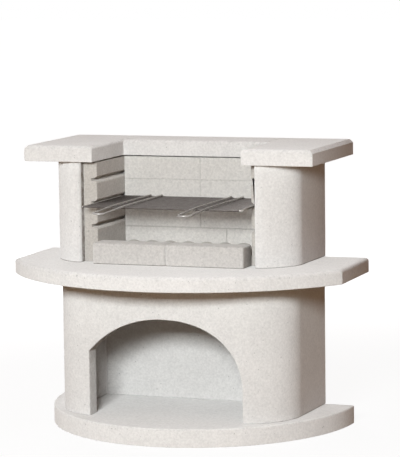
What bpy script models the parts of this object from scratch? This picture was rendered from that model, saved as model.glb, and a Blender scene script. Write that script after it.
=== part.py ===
"""Outdoor masonry barbecue: cast slabs and walls, a fire-brick lining and a wire cooking grid.

Metres, +Z up, the front towards -Y, the floor at zero, the middle of the overall box above the origin.
"""
import math

import bmesh
import bpy
from mathutils import Vector

for item in list(bpy.data.objects):
    bpy.data.objects.remove(item, do_unlink=True)

# Driving dimensions
table_width = 1.200
table_reach = 0.667
table_end_depth = 0.324
crown_width = 1.044
crown_rear_overhang = 0.081
crown_front = 0.402
base_width = 1.088
base_depth = 0.588
base_thickness = 0.063
lower_wall_width = 0.865
lower_wall_height = 0.473
table_thickness = 0.0515
upper_wall_height = 0.3505
crown_thickness = 0.0550
wall_thickness = 0.063
panel_thickness = 0.040
lining_thickness = 0.041
firebox_width = 0.551
back_lining_front = 0.085

# Clearances shared by neighbouring pieces
contact_gap = 0.0003
lining_gap = 0.0010
sliding_gap = 0.0010

# The pieces stack from these heights and this rear plane
rear_y = (table_reach - crown_rear_overhang) / 2
table_bottom = base_thickness + lower_wall_height + 2 * contact_gap
table_top = table_bottom + table_thickness
crown_bottom = table_top + upper_wall_height + 2 * contact_gap
crown_top = crown_bottom + crown_thickness
firebox_half = firebox_width / 2

# The wall castings stand a little left of the middle of the slabs
lower_wall_shift = -0.0035
upper_wall_shift = -0.010


def material(name, colour, roughness, metallic=0.0):
    """One Principled material."""
    shader = bpy.data.materials.new(name)
    shader.use_nodes = True
    principled = shader.node_tree.nodes["Principled BSDF"]
    principled.inputs["Base Color"].default_value = (*colour, 1.0)
    principled.inputs["Roughness"].default_value = roughness
    principled.inputs["Metallic"].default_value = metallic
    shader.diffuse_color = (*colour, 1.0)
    return shader


white_concrete = ((0.76, 0.74, 0.71), 0.90)
lining_concrete = ((0.52, 0.49, 0.44), 0.92)
fire_brick = ((0.60, 0.58, 0.55), 0.92)
steel_wire = ((0.32, 0.30, 0.29), 0.38, 0.85)


def add_piece(name, look, vertices, faces, smooth_angle_share=0.0):
    """One closed object with its own material; round ones are smooth up to a share of a right angle."""
    mesh = bpy.data.meshes.new(name)
    mesh.from_pydata(vertices, [], faces)
    piece = bpy.data.objects.new(name, mesh)
    bpy.context.collection.objects.link(piece)
    work = bmesh.new()
    work.from_mesh(mesh)
    bmesh.ops.recalc_face_normals(work, faces=work.faces)
    work.to_mesh(mesh)
    work.free()
    mesh.materials.append(material(name + "_material", *look))
    if smooth_angle_share:
        mesh.shade_smooth()
        mesh.set_sharp_from_angle(angle=smooth_angle_share * math.pi / 2)
    return piece


def inward(points):
    """For each point of a closed outline the step that moves both its edges inwards by one unit."""
    count = len(points)
    area = sum(points[i - 1][0] * points[i][1] - points[i][0] * points[i - 1][1] for i in range(count))
    turn = 1 if area > 0 else -1
    steps = []
    for i in range(count):
        before, here, after = points[i - 1], points[i], points[(i + 1) % count]
        first = (here[0] - before[0], here[1] - before[1])
        second = (after[0] - here[0], after[1] - here[1])
        first_length, second_length = math.hypot(*first), math.hypot(*second)
        n1 = (-first[1] / first_length * turn, first[0] / first_length * turn)
        n2 = (-second[1] / second_length * turn, second[0] / second_length * turn)
        square = 1 + n1[0] * n2[0] + n1[1] * n2[1]
        steps.append(((n1[0] + n2[0]) / square, (n1[1] + n2[1]) / square))
    return steps


def rounded_slab(name, look, points, bottom, top, top_round, steps=None, round_count=4, smooth_share=0.5):
    """A slab over a plan outline whose top edge is a quarter round; steps gives each point's inward move."""
    steps = steps or inward(points)
    rings = [(bottom, 0)]
    for k in range(round_count + 1):
        angle = k / round_count * math.pi / 2
        rings.append((top - top_round * (1 - math.sin(angle)), top_round * (1 - math.cos(angle))))
    vertices = []
    for height, inset in rings:
        for (x, y), (step_x, step_y) in zip(points, steps):
            vertices.append((x + step_x * inset, y + step_y * inset, height))
    count = len(points)
    faces = [list(range(count))[::-1], list(range(len(vertices) - count, len(vertices)))]
    for ring in range(len(rings) - 1):
        for i in range(count):
            j = (i + 1) % count
            a = ring * count + i
            b = ring * count + j
            faces.append((a, b, b + count, a + count))
    return add_piece(name, look, vertices, faces, smooth_share)


def plain_prism(name, look, section, start, end, axis="z", smooth_share=0.0):
    """A closed section pushed along one axis: plan points along z, or x and z points along y."""
    vertices = []
    for along in (start, end):
        for a, b in section:
            vertices.append((a, b, along) if axis == "z" else (a, along, b))
    count = len(section)
    faces = [list(range(count)), list(range(count, 2 * count))[::-1]]
    for i in range(count):
        j = (i + 1) % count
        faces.append((i, j, j + count, i + count))
    return add_piece(name, look, vertices, faces, smooth_share)


def quarter(center_x, center_y, axis_x, axis_y, start_share, end_share, count):
    """Points of an ellipse between two shares of a right angle, the angle measured from the +X axis."""
    points = []
    for i in range(count + 1):
        angle = (start_share + (end_share - start_share) * i / count) * math.pi / 2
        points.append((center_x + axis_x * math.cos(angle), center_y + axis_y * math.sin(angle)))
    return points


def bow(front_y, arcs):
    """Arcs that run on smoothly from a front apex to the side, as points each with its outward direction.

    Every arc has a radius, the share of a right angle that it ends at, and a count of points.
    """
    points = [(0.0, front_y, 0.0, -1.0)]
    share = 0.0
    for radius, end_share, count in arcs:
        x, y, out_x, out_y = points[-1]
        center_x = x - radius * out_x
        center_y = y - radius * out_y
        for i in range(1, count + 1):
            angle = (share + (end_share - share) * i / count) * math.pi / 2
            out_x, out_y = math.sin(angle), -math.cos(angle)
            points.append((center_x + radius * out_x, center_y + radius * out_y, out_x, out_y))
        share = end_share
    return points


# Base slab: half an oval lying on the ground, flat at the rear
base_edge_round = 0.006
base_segments = 64
base_outline = quarter(0, rear_y, base_width / 2, base_depth, -2, 0, base_segments)
rounded_slab("base_slab", white_concrete, base_outline, 0, base_thickness, base_edge_round, round_count=3)

# Lower wall: one U-shaped casting round the wood store, bowed in front, its sides wider at the rear
lower_front_depth = 0.4515
lower_front_radius = 2.13
lower_corner_radius = 0.181
lower_corner_share = 0.82
lower_side_radius = 0.250
lower_side_flare = 0.0105
lower_corner_segments = 13
lower_side_segments = 4
lower_bottom = base_thickness + contact_gap
lower_top = lower_bottom + lower_wall_height
lower_half = lower_wall_width / 2
lower_inner_half = lower_half - wall_thickness

# Arch: an upright left jamb with a kink under a flat arc, and a quarter oval on the right
arch_left_x = -0.279
arch_right_x = 0.277
arch_crown_x = -0.006
arch_crown_z = 0.411
arch_left_kink_z = 0.289
arch_right_spring_z = 0.164
arch_fullness_share = 0.90
arch_segments = 14


def lower_front_y(x):
    """The outer face of the bowed front at a distance from the middle of the casting."""
    drop = lower_front_radius - math.sqrt(lower_front_radius ** 2 - (x - lower_wall_shift) ** 2)
    return rear_y - lower_front_depth + drop


def arch_points():
    """Columns across the arch, left to right: x and height. A share under 1 fills out the oval half."""
    left_span = arch_crown_x - arch_left_x
    left_rise = arch_crown_z - arch_left_kink_z
    left_radius = (left_span ** 2 + left_rise ** 2) / (2 * left_rise)
    full_angle = math.asin(left_span / left_radius)
    columns = []
    for i in range(arch_segments + 1):
        angle = full_angle * (1 - i / arch_segments)
        height = arch_crown_z - left_radius * (1 - math.cos(angle))
        columns.append((arch_crown_x - left_radius * math.sin(angle), height))
    right_span = arch_right_x - arch_crown_x
    right_rise = arch_crown_z - arch_right_spring_z
    for i in range(1, arch_segments + 1):
        angle = (1 - i / arch_segments) * math.pi / 2
        across_share = math.cos(angle) ** arch_fullness_share
        up_share = math.sin(angle) ** arch_fullness_share
        x = arch_crown_x + right_span * across_share
        columns.append((x, arch_right_spring_z + right_rise * up_share))
    return columns


def lower_wall_stations():
    """Outer point, inner point and bottom heights of each upright strip, left rear to right rear."""
    corner_end = math.sin(lower_corner_share * math.pi / 2)
    corner_width = lower_corner_radius * corner_end + lower_side_radius * (1 - corner_end)
    front_end = (lower_half - corner_width) / (lower_front_radius - lower_corner_radius)
    arcs = ((lower_front_radius, math.asin(front_end) / (math.pi / 2), 1),
            (lower_corner_radius, lower_corner_share, lower_corner_segments),
            (lower_side_radius, 1, lower_side_segments))
    side = [((lower_half + lower_side_flare, rear_y), (lower_inner_half, rear_y))]
    for x, y, out_x, out_y in reversed(bow(rear_y - lower_front_depth, arcs)):
        inner = (x - wall_thickness * out_x, y - wall_thickness * out_y)
        side.append(((x, y), inner))
    middle_x = lower_wall_shift
    floor = (lower_bottom,)
    left = [((middle_x - a[0], a[1]), (middle_x - b[0], b[1]), floor) for a, b in side]
    right = [((middle_x + a[0], a[1]), (middle_x + b[0], b[1]), floor) for a, b in side[::-1]]
    middle = []
    columns = arch_points()
    for i, (x, z) in enumerate(columns):
        y = lower_front_y(x)
        heights = (lower_bottom, z) if i in (0, len(columns) - 1) else (z,)
        middle.append(((x, y), (x, y + wall_thickness), heights))
    left = [row for row in left if max(row[0][0], row[1][0]) < arch_left_x]
    right = [row for row in right if min(row[0][0], row[1][0]) > arch_right_x]
    return left + middle + right


def build_lower_wall():
    """The U wall as upright strips between stations, with the arch cut straight through its front."""
    rows = []
    vertices = []
    for outer, inner, heights in lower_wall_stations():
        row = []
        for height in (*heights, lower_top):
            vertices.append((outer[0], outer[1], height))
            vertices.append((inner[0], inner[1], height))
            row.append((len(vertices) - 2, len(vertices) - 1))
        rows.append(row)
    jambs = [i for i, row in enumerate(rows) if len(row) == 3]
    faces = []
    for i in range(len(rows) - 1):
        here, after = rows[i], rows[i + 1]
        over_arch = jambs[0] <= i < jambs[1]
        first = here[1:] if over_arch and len(here) == 3 else here
        second = after[1:] if over_arch and len(after) == 3 else after
        for side in (0, 1):
            loop = [pair[side] for pair in first] + [pair[side] for pair in second[::-1]]
            faces.append(loop if side else loop[::-1])
        faces.append((first[0][0], second[0][0], second[0][1], first[0][1]))
        faces.append((first[-1][0], first[-1][1], second[-1][1], second[-1][0]))
    for jamb in jambs:
        low, high = rows[jamb][0], rows[jamb][1]
        faces.append((low[0], low[1], high[1], high[0]))
    for end in (rows[0], rows[-1]):
        faces.append((end[0][0], end[0][1], end[1][1], end[1][0]))
    return add_piece("lower_wall", white_concrete, vertices, faces, 0.35)


build_lower_wall()

# Lower back panel: a flat plate between the legs of the U
lower_panel_half = lower_inner_half - contact_gap
lower_panel_outline = [
    (lower_wall_shift - lower_panel_half, rear_y - panel_thickness),
    (lower_wall_shift + lower_panel_half, rear_y - panel_thickness),
    (lower_wall_shift + lower_panel_half, rear_y),
    (lower_wall_shift - lower_panel_half, rear_y),
]
plain_prism("lower_back_panel", white_concrete, lower_panel_outline, lower_bottom, lower_top)

# Table slab: square ends, a bowed front and a rounded top edge
table_edge_round = 0.013
table_segments = 56
table_half = table_width / 2
table_bow = table_reach - table_end_depth
table_radius = (table_half ** 2 + table_bow ** 2) / (2 * table_bow)
table_centre_y = rear_y - table_reach + table_radius
table_angle_share = math.asin(table_half / table_radius) / (math.pi / 2)
table_outline = [(table_half, rear_y), (-table_half, rear_y)]
table_outline += quarter(0, table_centre_y, table_radius, table_radius,
                         -1 - table_angle_share, -1 + table_angle_share, table_segments)
rounded_slab("table_slab", white_concrete, table_outline, table_bottom, table_top, table_edge_round)

# Upper side walls: upright castings with a swept nose at the front, wider at the rear
nose_front = 0.3765
nose_inner_width = 0.006
nose_inner_depth = 0.014
nose_front_radius = 0.190
nose_front_share = 0.051
nose_tip_radius = 0.039
nose_tip_share = 0.35
nose_cheek_radius = 0.222
nose_cheek_share = 0.593
nose_side_radius = 0.137
nose_side_flare = 0.009
nose_inner_segments = 5
nose_arcs = ((nose_front_radius, nose_front_share, 2), (nose_tip_radius, nose_tip_share, 4),
             (nose_cheek_radius, nose_cheek_share, 5), (nose_side_radius, 1, 8))
upper_inner_half = firebox_half + lining_thickness
upper_bottom = table_top + contact_gap
upper_top = upper_bottom + upper_wall_height


def nose_outline(side):
    """Plan outline of an upper side wall, side being 1 on the right and -1 on the left."""
    apex_x = upper_inner_half + nose_inner_width
    points = [(apex_x + x, y) for x, y, out_x, out_y in reversed(bow(rear_y - nose_front, nose_arcs))]
    points.insert(0, (points[0][0] + nose_side_flare, rear_y))
    points += quarter(apex_x, rear_y - nose_front + nose_inner_depth, -nose_inner_width,
                      -nose_inner_depth, 1, 0, nose_inner_segments)[1:]
    points.append((upper_inner_half, rear_y))
    return [(upper_wall_shift + side * x, y) for x, y in points]


plain_prism("upper_wall_left", white_concrete, nose_outline(-1), upper_bottom, upper_top, smooth_share=0.35)
plain_prism("upper_wall_right", white_concrete, nose_outline(1), upper_bottom, upper_top, smooth_share=0.35)

# Upper back panel: a flat plate between the upper side walls
upper_panel_half = upper_inner_half - contact_gap
upper_panel_outline = [
    (upper_wall_shift - upper_panel_half, rear_y - panel_thickness),
    (upper_wall_shift + upper_panel_half, rear_y - panel_thickness),
    (upper_wall_shift + upper_panel_half, rear_y),
    (upper_wall_shift - upper_panel_half, rear_y),
]
plain_prism("upper_back_panel", white_concrete, upper_panel_outline, upper_bottom, upper_top)

# Crown: two side slabs and a back slab, their free top edges rounded and their joints square
crown_edge_round = 0.012
crown_inner_half = 0.270
crown_back_front = 0.106
crown_half = crown_width / 2
crown_rear_y = rear_y + crown_rear_overhang
crown_front_y = rear_y - crown_front
crown_joint_y = rear_y - crown_back_front


def side_cap(name, side):
    """One side slab of the crown; beside the back slab its inner top edge stays square."""
    points = [
        (crown_inner_half, crown_front_y),
        (crown_half, crown_front_y),
        (crown_half, crown_rear_y),
        (crown_inner_half, crown_rear_y),
        (crown_inner_half, crown_joint_y),
        (crown_inner_half, crown_joint_y - crown_edge_round),
    ]
    steps = [(1, 1), (-1, 1), (-1, -1), (0, -1), (0, 0), (1, 0)]
    points = [(side * x, y) for x, y in points]
    steps = [(side * x, y) for x, y in steps]
    return rounded_slab(name, white_concrete, points, crown_bottom, crown_top, crown_edge_round, steps,
                        smooth_share=0.35)


side_cap("cap_left", -1)
side_cap("cap_right", 1)
back_cap_half = crown_inner_half - contact_gap
back_cap_points = [
    (-back_cap_half, crown_joint_y),
    (back_cap_half, crown_joint_y),
    (back_cap_half, crown_rear_y),
    (-back_cap_half, crown_rear_y),
]
rounded_slab("cap_back", white_concrete, back_cap_points, crown_bottom, crown_top, crown_edge_round,
             [(0, 1), (0, 1), (0, -1), (0, -1)], smooth_share=0.35)

# Side linings: upright slabs with three grooves for the cooking grid along their inner faces
lining_top_gap = 0.006
lining_left_front = 0.345
lining_right_front = 0.3115
groove_first_lip = 0.1127
groove_pitch = 0.0804
groove_count = 3
groove_depth = 0.022
groove_mouth_depth = 0.008
groove_mouth_height = 0.0245
groove_floor_rise = 0.007
groove_ceiling_rise = 0.018
lining_bottom = table_top + contact_gap
lining_top = crown_bottom - lining_top_gap
lining_rear_y = rear_y - panel_thickness - contact_gap


def lining_section(side):
    """Section of a side lining across the firebox, outer face first."""
    outer = upper_inner_half - lining_gap + side * upper_wall_shift
    points = [(firebox_half, lining_bottom)]
    for i in range(groove_count):
        lip = table_top + groove_first_lip + i * groove_pitch
        points.append((firebox_half, lip))
        points.append((firebox_half + groove_mouth_depth, lip + groove_floor_rise))
        points.append((firebox_half + groove_depth, lip + groove_floor_rise))
        points.append((firebox_half + groove_depth, lip + groove_ceiling_rise))
        points.append((firebox_half + groove_mouth_depth, lip + groove_ceiling_rise))
        points.append((firebox_half, lip + groove_mouth_height))
    points += [(firebox_half, lining_top), (outer, lining_top), (outer, lining_bottom)]
    return [(side * x, z) for x, z in points]


plain_prism("lining_left", lining_concrete, lining_section(-1), rear_y - lining_left_front, lining_rear_y,
            axis="y")
plain_prism("lining_right", lining_concrete, lining_section(1), rear_y - lining_right_front, lining_rear_y,
            axis="y")

# Back lining: four courses of two blocks each, the lowest course with its joint further right
block_thickness = 0.039
course_joints = (0.0973, 0.1823, 0.2663)
upper_joint_x = 0.011
lowest_joint_x = 0.107
lining_half = firebox_half - contact_gap
block_front_y = rear_y - back_lining_front
block_rear_y = block_front_y + block_thickness
course_heights = [lining_bottom] + [table_top + joint for joint in course_joints] + [lining_top]
for course in range(len(course_heights) - 1):
    joint_x = upper_joint_x if course else lowest_joint_x
    low = course_heights[course] + (contact_gap if course else 0)
    high = course_heights[course + 1]
    for label, start, end in (("left", -lining_half, joint_x - contact_gap), ("right", joint_x, lining_half)):
        block_outline = [
            (start, block_front_y),
            (end, block_front_y),
            (end, block_rear_y),
            (start, block_rear_y),
        ]
        plain_prism(f"back_block_{course + 1}_{label}", lining_concrete, block_outline, low, high)

# Front fire bricks: two rounded bars standing loose on the table
brick_front = 0.3995
brick_rear = 0.312
brick_height = 0.0735
brick_round = 0.008
brick_joint_x = -0.008
brick_half = firebox_half - sliding_gap
brick_corner_segments = 3


def rounded_rectangle(x0, y0, x1, y1, radius, count):
    """Plan outline of a rectangle with round corners."""
    points = []
    centres = ((x1 - radius, y1 - radius, 0), (x0 + radius, y1 - radius, 1),
               (x0 + radius, y0 + radius, 2), (x1 - radius, y0 + radius, 3))
    for center_x, center_y, start in centres:
        points += quarter(center_x, center_y, radius, radius, start, start + 1, count)
    return points


brick_ends = (("left", -brick_half, brick_joint_x - sliding_gap), ("right", brick_joint_x, brick_half))
for label, start, end in brick_ends:
    brick_outline = rounded_rectangle(start, rear_y - brick_front, end, rear_y - brick_rear, brick_round,
                                      brick_corner_segments)
    rounded_slab("fire_brick_" + label, fire_brick, brick_outline, table_top + contact_gap,
                 table_top + contact_gap + brick_height, brick_round, round_count=brick_corner_segments,
                 smooth_share=0.45)

# Hearth slab: a flat plate on the table under the ember plates
hearth_thickness = 0.023
hearth_front_y = rear_y - brick_rear + sliding_gap
hearth_rear_y = block_front_y - sliding_gap
hearth_top = table_top + contact_gap + hearth_thickness
hearth_outline = [
    (-brick_half, hearth_front_y),
    (brick_half, hearth_front_y),
    (brick_half, hearth_rear_y),
    (-brick_half, hearth_rear_y),
]
plain_prism("hearth_slab", fire_brick, hearth_outline, table_top + contact_gap, hearth_top)

# Ember plates: two loose plates, each with four rounded ribs running front to back
plate_thickness = 0.010
rib_height = 0.015
rib_width_share = 0.80
ribs_per_plate = 4
rib_segments = 8
plate_bottom = hearth_top + contact_gap
plate_width = brick_half - sliding_gap / 2


def ember_plate_section(left_x):
    """Section of a ribbed plate across the firebox, starting at its left edge."""
    valley = plate_bottom + plate_thickness
    pitch = plate_width / ribs_per_plate
    half_rib = pitch * rib_width_share / 2
    points = [(left_x, plate_bottom), (left_x + plate_width, plate_bottom), (left_x + plate_width, valley)]
    for rib in reversed(range(ribs_per_plate)):
        points += quarter(left_x + (rib + 0.5) * pitch, valley, half_rib, rib_height, 0, 2, rib_segments)
    points.append((left_x, valley))
    return points


for label, left_x in (("left", -brick_half), ("right", sliding_gap / 2)):
    plain_prism("ember_plate_" + label, fire_brick, ember_plate_section(left_x), hearth_front_y,
                hearth_rear_y, axis="y", smooth_share=0.40)


def sweep(path, radius, sides, closed=False):
    """A round wire along a path of points, as vertices and faces; an open path has flat ends."""
    count = len(path)
    points = [Vector(point) for point in path]
    vertices = []
    for i, here in enumerate(points):
        before = points[i - 1] if closed or i else here
        after = points[(i + 1) % count] if closed or i < count - 1 else here
        run = (after - before).normalized()
        aside = aside - run * aside.dot(run) if i else run.orthogonal()
        aside.normalize()
        over = aside.cross(run)
        for k in range(sides):
            angle = 2 * math.pi * (k + 0.5) / sides
            around = aside * math.cos(angle) + over * math.sin(angle)
            vertices.append(tuple(here + around * radius))
    faces = []
    for i in range(count if closed else count - 1):
        j = (i + 1) % count
        for k in range(sides):
            m = (k + 1) % sides
            faces.append((i * sides + k, i * sides + m, j * sides + m, j * sides + k))
    if not closed:
        faces.append(tuple(range(sides))[::-1])
        faces.append(tuple((count - 1) * sides + k for k in range(sides)))
    return vertices, faces


# Cooking grid: thin rods welded across a frame of thick wire, which lies in the middle grooves
frame_radius = 0.0033
frame_half = 0.2890
frame_front = 0.4575
frame_rear = 0.094
frame_corner = 0.005
frame_corner_segments = 5
rod_radius = 0.0013
rod_count = 24
wire_sides = 8
grid_z = table_top + groove_first_lip + groove_pitch + groove_floor_rise + contact_gap + frame_radius
frame_line_half = frame_half - frame_radius
frame_line_front = rear_y - frame_front + frame_radius
frame_line_rear = rear_y - frame_rear - frame_radius
frame_outline = rounded_rectangle(-frame_line_half, frame_line_front, frame_line_half, frame_line_rear,
                                  frame_corner, frame_corner_segments)
frame_path = [(x, y, grid_z) for x, y in frame_outline]
grid = add_piece("grid_lattice", steel_wire, *sweep(frame_path, frame_radius, wire_sides, closed=True), 0.60)

rod_pitch = (frame_line_rear - frame_line_front) / (rod_count + 1)
rod_vertices = []
rod_faces = []
for rod in range(rod_count):
    rod_y = frame_line_front + (rod + 1) * rod_pitch
    reach = frame_line_half
    end_gap = min(rod_y - frame_line_front, frame_line_rear - rod_y)
    if end_gap < frame_corner:
        reach -= frame_corner - math.sqrt(frame_corner ** 2 - (frame_corner - end_gap) ** 2)
    vertices, faces = sweep([(-reach, rod_y, grid_z), (reach, rod_y, grid_z)], rod_radius, wire_sides)
    rod_faces += [tuple(len(rod_vertices) + k for k in face) for face in faces]
    rod_vertices += vertices
rods = add_piece("rod_shapes", steel_wire, rod_vertices, rod_faces, 0.60)
rods.hide_render = True
rods.display_type = "WIRE"
weld = grid.modifiers.new("welded rods", "BOOLEAN")
weld.operation = "UNION"
weld.solver = "EXACT"
weld.object = rods

# Grid handles: two long loops of wire over the rods, which dip a little where they reach out in front
handle_radius = 0.0030
handle_centre_x = 0.151
handle_half = 0.0213
handle_front = 0.655
handle_knee = 0.006
handle_dip = 0.007
handle_loop_segments = 10
handle_z = grid_z + frame_radius + handle_radius + contact_gap


def handle_path(center_x):
    """The line of one handle from one rear end, over the frame, round the dipped front loop, to the other."""
    knee_y = frame_line_front - handle_knee
    loop_y = rear_y - handle_front + handle_radius + handle_half
    fall = handle_dip / (knee_y - loop_y + handle_half)
    half_path = [(center_x + handle_half, frame_line_rear + frame_radius, handle_z),
                 (center_x + handle_half, knee_y, handle_z)]
    loop = [(x, y, handle_z - fall * (knee_y - y)) for x, y in quarter(
        center_x, loop_y, handle_half, handle_half, 0, -2, handle_loop_segments)]
    other_half = [(2 * center_x - x, y, z) for x, y, z in half_path]
    return half_path + loop + other_half[::-1]


for label, side in (("left", -1), ("right", 1)):
    add_piece("grid_handle_" + label, steel_wire,
              *sweep(handle_path(side * handle_centre_x), handle_radius, wire_sides), 0.60)
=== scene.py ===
import math

import bpy
import numpy as np
from mathutils import Matrix, Vector


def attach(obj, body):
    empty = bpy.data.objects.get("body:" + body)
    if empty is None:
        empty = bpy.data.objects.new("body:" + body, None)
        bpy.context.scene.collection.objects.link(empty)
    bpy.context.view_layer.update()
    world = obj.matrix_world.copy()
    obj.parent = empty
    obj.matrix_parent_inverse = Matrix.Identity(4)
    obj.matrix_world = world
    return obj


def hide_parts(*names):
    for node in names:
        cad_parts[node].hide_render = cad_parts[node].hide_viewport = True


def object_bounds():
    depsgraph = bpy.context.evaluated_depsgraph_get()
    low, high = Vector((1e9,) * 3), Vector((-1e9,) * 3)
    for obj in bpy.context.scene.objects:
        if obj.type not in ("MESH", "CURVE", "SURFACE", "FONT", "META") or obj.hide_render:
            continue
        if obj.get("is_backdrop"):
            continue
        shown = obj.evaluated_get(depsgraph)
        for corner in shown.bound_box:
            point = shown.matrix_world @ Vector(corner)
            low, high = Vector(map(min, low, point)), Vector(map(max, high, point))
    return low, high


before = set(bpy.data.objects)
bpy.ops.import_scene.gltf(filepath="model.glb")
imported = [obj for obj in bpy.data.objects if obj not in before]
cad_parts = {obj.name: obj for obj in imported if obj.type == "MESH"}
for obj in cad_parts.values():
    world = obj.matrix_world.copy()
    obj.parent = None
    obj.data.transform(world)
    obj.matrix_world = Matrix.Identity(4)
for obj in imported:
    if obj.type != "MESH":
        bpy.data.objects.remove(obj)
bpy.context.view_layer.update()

# Camera
# It stands where the photograph was taken from, a little to the right and just above the crown.
# The place and the three angles come from a least-squares fit to the edges of the slabs and the arch.
camera_place = (2.9464, -7.9243, 1.7015)
camera_turn = 0.346784
camera_dip = 0.117325
camera_roll = 0.0126955
camera_lens_mm = 194.65
camera_sensor_mm = 36.0

camera_data = bpy.data.cameras.new("photo_camera")
camera_data.lens = camera_lens_mm
camera_data.sensor_width = camera_sensor_mm
camera_data.clip_end = 200.0
camera = bpy.data.objects.new("photo_camera", camera_data)
bpy.context.scene.collection.objects.link(camera)
camera.matrix_world = (
    Matrix.Translation(Vector(camera_place)) @ Matrix.Rotation(camera_turn, 4, "Z")
    @ Matrix.Rotation(math.pi / 2 - camera_dip, 4, "X") @ Matrix.Rotation(-camera_roll, 4, "Z"))
bpy.context.scene.camera = camera
bpy.context.scene.view_settings.view_transform = "Standard"

# Light
# A low, wide and shallow softbox in front draws the table's shadow band, a large soft light hangs above, and a
# weak warm glow comes from all round. A low soft light behind on the left serves the other views.
glow_colour = (1.0, 0.43, 0.20)
glow_level = 0.131


def soft_light(name, place, target, width, height, energy, colour):
    """A rectangular soft light at a place, facing a target, its energy in watts."""
    data = bpy.data.lights.new(name, "AREA")
    data.shape = "RECTANGLE"
    data.size = width
    data.size_y = height
    data.energy = energy
    data.color = colour
    lamp = bpy.data.objects.new(name, data)
    lamp.location = place
    lamp.rotation_euler = (Vector(target) - Vector(place)).to_track_quat("-Z", "Y").to_euler()
    bpy.context.scene.collection.objects.link(lamp)


soft_light("front_light", place=(0.73, -4.70, 1.93), target=(0.73, -0.1, 0.6), width=1.5, height=0.70,
           energy=217.0, colour=(0.940, 0.983, 1.0))
soft_light("overhead_light", place=(0.0, 0.15, 8.0), target=(0.0, 0.15, 0.0), width=6.0, height=6.0,
           energy=26.0, colour=(0.78, 0.93, 1.0))
soft_light("rear_light", place=(-2.4, 4.4, 0.75), target=(0.0, 0.0, 0.5), width=2.4, height=1.2,
           energy=160.0, colour=(0.93, 0.97, 1.0))


def feed(tree, node, links):
    """Links outputs to a node's inputs, from pairs of an input's name and the output that feeds it."""
    for socket, source in links:
        tree.links.new(source, node.inputs[socket])


def add_node(tree, kind, links=(), **values):
    """A shader node with its settings and its links."""
    made = tree.nodes.new(kind)
    for key_name, value in values.items():
        if hasattr(made, key_name):
            setattr(made, key_name, value)
        else:
            made.inputs[key_name.replace("_", " ")].default_value = value
    feed(tree, made, links)
    return made


def maths(tree, operation, first, second):
    """One Math node of two values, each a number or an output."""
    made = tree.nodes.new("ShaderNodeMath")
    made.operation = operation
    for place, value in enumerate((first, second)):
        if isinstance(value, (int, float)):
            made.inputs[place].default_value = value
        else:
            tree.links.new(value, made.inputs[place])
    return made.outputs[0]


world = bpy.data.worlds.new("studio")
bpy.context.scene.world = world
world.use_nodes = True
world_tree = world.node_tree
world_tree.nodes.clear()
seen = add_node(world_tree, "ShaderNodeLightPath")
mirrored = maths(world_tree, "MAXIMUM", seen.outputs["Is Glossy Ray"], seen.outputs["Is Transmission Ray"])
shown = maths(world_tree, "MAXIMUM", seen.outputs["Is Camera Ray"], mirrored)
glow = add_node(world_tree, "ShaderNodeBackground", Color=(*glow_colour, 1.0), Strength=glow_level)
white = add_node(world_tree, "ShaderNodeBackground", Color=(1.0, 1.0, 1.0, 1.0), Strength=1.0)
world_mix = add_node(world_tree, "ShaderNodeMixShader",
                     [(0, shown), (1, glow.outputs[0]), (2, white.outputs[0])])
add_node(world_tree, "ShaderNodeOutputWorld", [("Surface", world_mix.outputs[0])])

# Floor
# A plain pale floor far wider than the view. Seen by the camera it is white far off and keeps a faint shadow near
# the object; to the pieces it gives back only a dim warm light, as paving does.
floor_half = 40.0
floor_bounce_colour = (0.31, 0.215, 0.12, 1.0)
floor_seen_colour = (0.13, 0.13, 0.13, 1.0)
floor_near_glow = 0.91
floor_near_reach = 1.2
floor_far_reach = 4.0


def principled(name, colour, settings):
    """A material, its tree and its Principled shader, set from names of sockets and their values."""
    look = bpy.data.materials.new(name)
    look.use_nodes = True
    look.diffuse_color = colour
    shader = look.node_tree.nodes["Principled BSDF"]
    for socket, value in settings.items():
        shader.inputs[socket].default_value = value
    return look, look.node_tree, shader


floor_mesh = bpy.data.meshes.new("studio_floor")
floor_mesh.from_pydata([(-floor_half, -floor_half, 0), (floor_half, -floor_half, 0),
                        (floor_half, floor_half, 0), (-floor_half, floor_half, 0)], [], [(0, 1, 2, 3)])
floor = bpy.data.objects.new("studio_floor", floor_mesh)
bpy.context.scene.collection.objects.link(floor)
floor_look, floor_tree, floor_shader = principled("pale_floor", floor_seen_colour, {
    "Roughness": 1.0, "Specular IOR Level": 0.0, "Emission Color": (1.0, 1.0, 1.0, 1.0)})
floor_path = add_node(floor_tree, "ShaderNodeLightPath")
floor_seen = maths(floor_tree, "MAXIMUM", floor_path.outputs["Is Camera Ray"], floor_path.outputs["Is Glossy Ray"])
floor_colour = add_node(floor_tree, "ShaderNodeMix", [("Factor", floor_seen)], data_type="RGBA",
                        A=floor_bounce_colour, B=floor_seen_colour)
floor_spot = add_node(floor_tree, "ShaderNodeTexCoord")
floor_distance = add_node(floor_tree, "ShaderNodeVectorMath", [(0, floor_spot.outputs["Object"])],
                          operation="LENGTH")
floor_range = add_node(floor_tree, "ShaderNodeMapRange", [("Value", floor_distance.outputs["Value"])],
                       interpolation_type="SMOOTHSTEP", From_Min=floor_near_reach, From_Max=floor_far_reach,
                       To_Min=floor_near_glow, To_Max=1.0)
floor_glow = maths(floor_tree, "MULTIPLY", floor_range.outputs["Result"], floor_seen)
feed(floor_tree, floor_shader, [("Base Color", floor_colour.outputs["Result"]), ("Emission Strength", floor_glow)])
floor_mesh.materials.append(floor_look)
floor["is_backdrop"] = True

# Base slab
# A low slab of white cast concrete, half an oval in plan, on which the whole barbecue is bedded.
# It was poured face down, so its top edge carries the mould's small round and a few air pits.
base_half = 0.544
base_depth = 0.588
base_height = 0.063
base_edge = 0.006
rear_y = 0.293
mould_corner = 0.0022
foot_edge = 0.0012
round_steps = 6


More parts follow.
